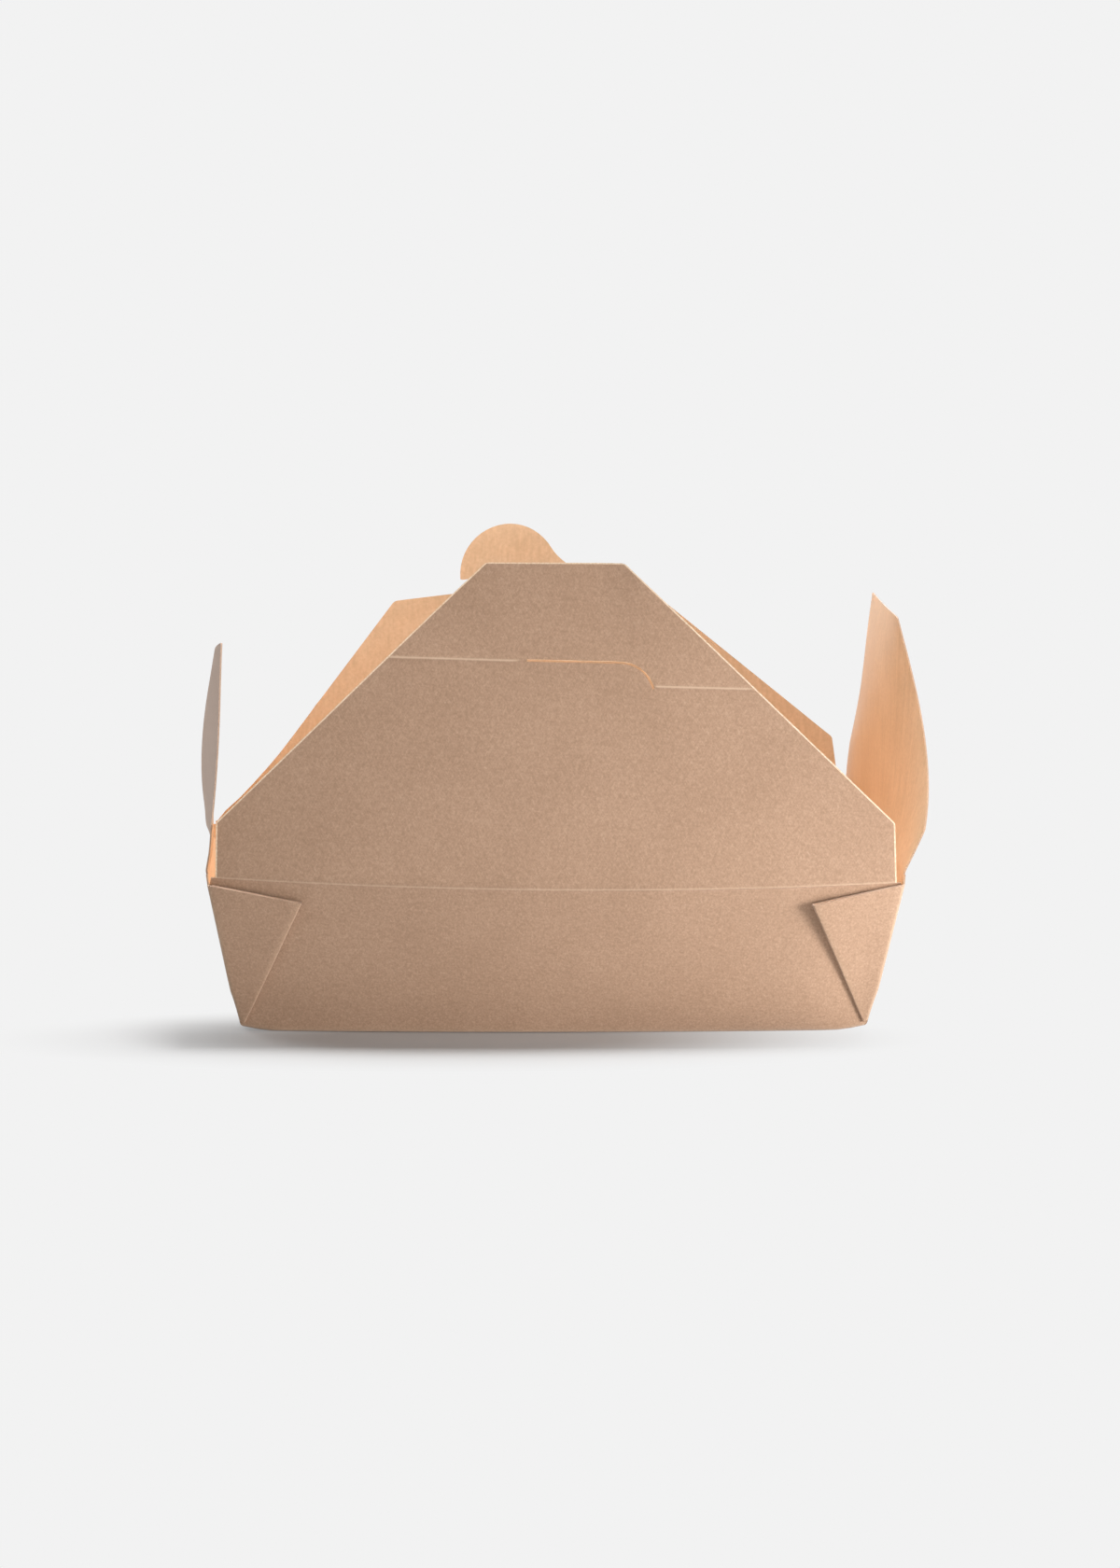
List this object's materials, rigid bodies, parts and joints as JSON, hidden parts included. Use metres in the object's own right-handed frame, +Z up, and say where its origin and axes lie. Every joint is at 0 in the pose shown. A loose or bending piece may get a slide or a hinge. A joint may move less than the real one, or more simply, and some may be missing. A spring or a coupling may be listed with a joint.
{
  "type": "takeaway box",
  "caption": "Takeaway food box folded from one sheet of kraft board, open, with leaning walls, corner gussets, side flaps and lid flaps with a hooked tongue and a curved slot.",
  "frame": {"origin": "middle of the floor, on its underside", "axes": "+X to the right along the long walls, +Y from the front flap to the back flap, +Z up"},
  "size_m": [0.2273, 0.182, 0.1424],
  "materials": {
    "kraft": "matte"
  },
  "bodies": {
    "tray": {"tray": "kraft"},
    "front_flap": {"front_flap": "kraft"},
    "back_flap": {"back_flap": "kraft"},
    "left_flap": {"left_flap": "kraft"},
    "right_flap": {"right_flap": "kraft"}
  },
  "joints": [
    {"name": "front_crease", "type": "hinge", "parent": "tray", "child": "front_flap", "pos_m": [0, -0.07829, 0.0494], "axis": [1, 0, 0], "range_deg": [-61, 112]},
    {"name": "back_crease", "type": "hinge", "parent": "tray", "child": "back_flap", "pos_m": [0, 0.07875, 0.0519], "axis": [-1, 0, 0], "range_deg": [-103, 75]},
    {"name": "left_crease", "type": "hinge", "parent": "tray", "child": "left_flap", "pos_m": [-0.10675, 0, 0.0519], "axis": [0, -1, 0], "range_deg": [-5, 80]},
    {"name": "right_crease", "type": "hinge", "parent": "tray", "child": "right_flap", "pos_m": [0.10675, 0, 0.0519], "axis": [0, 1, 0], "range_deg": [-20, 80]}
  ]
}
